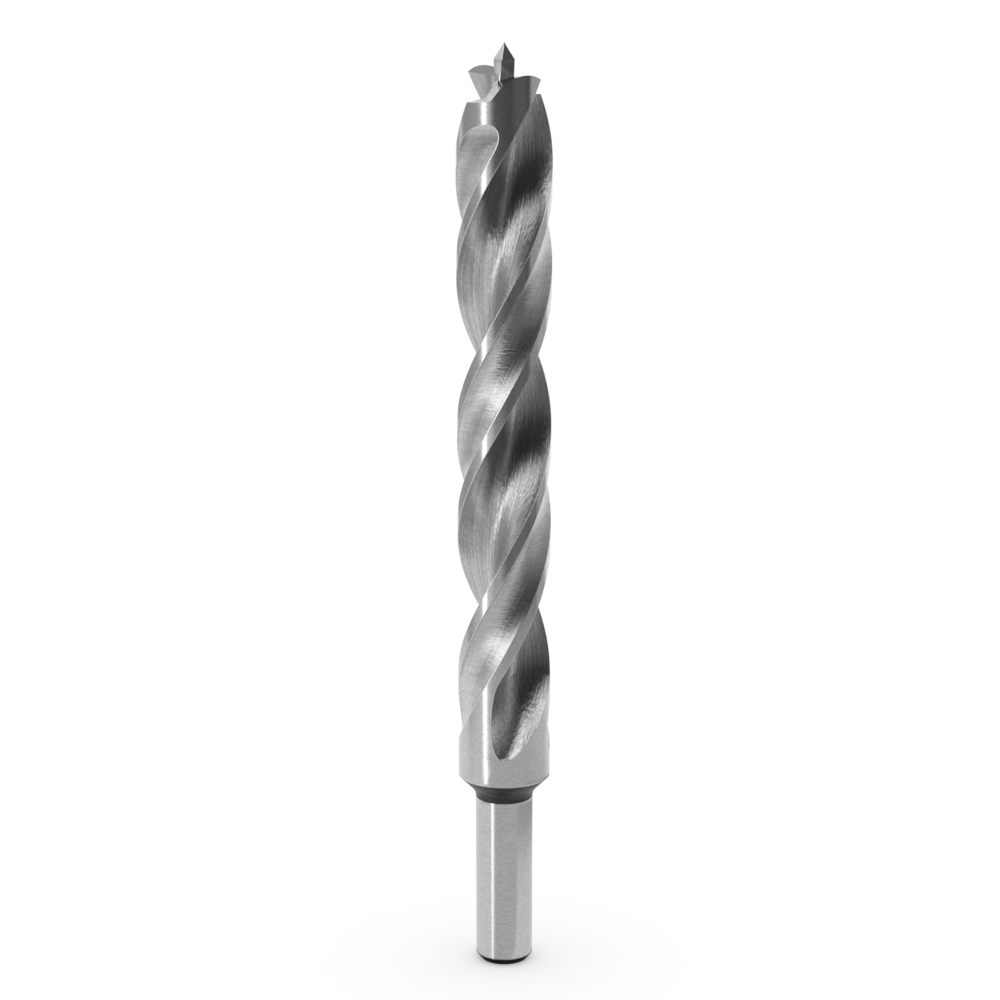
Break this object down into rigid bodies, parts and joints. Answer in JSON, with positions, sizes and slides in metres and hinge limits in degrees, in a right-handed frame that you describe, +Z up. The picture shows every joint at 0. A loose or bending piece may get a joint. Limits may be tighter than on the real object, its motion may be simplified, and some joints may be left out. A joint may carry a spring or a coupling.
{
  "type": "wood twist drill bit",
  "caption": "Round steel drill bit for wood with a sharp centre point, outer spurs, wide spiral flutes and a thinner plain shank.",
  "frame": {"origin": "centre of the shank's flat end, which the drill stands on", "axes": "+Z up the drill's axis from the shank's end to the centre point; -Y is the side that the picture shows"},
  "size_m": [0.016, 0.016, 0.16],
  "materials": {
    "ground_steel": "ground"
  },
  "bodies": {
    "root": {"drill_bit": "ground_steel"}
  },
  "joints": []
}
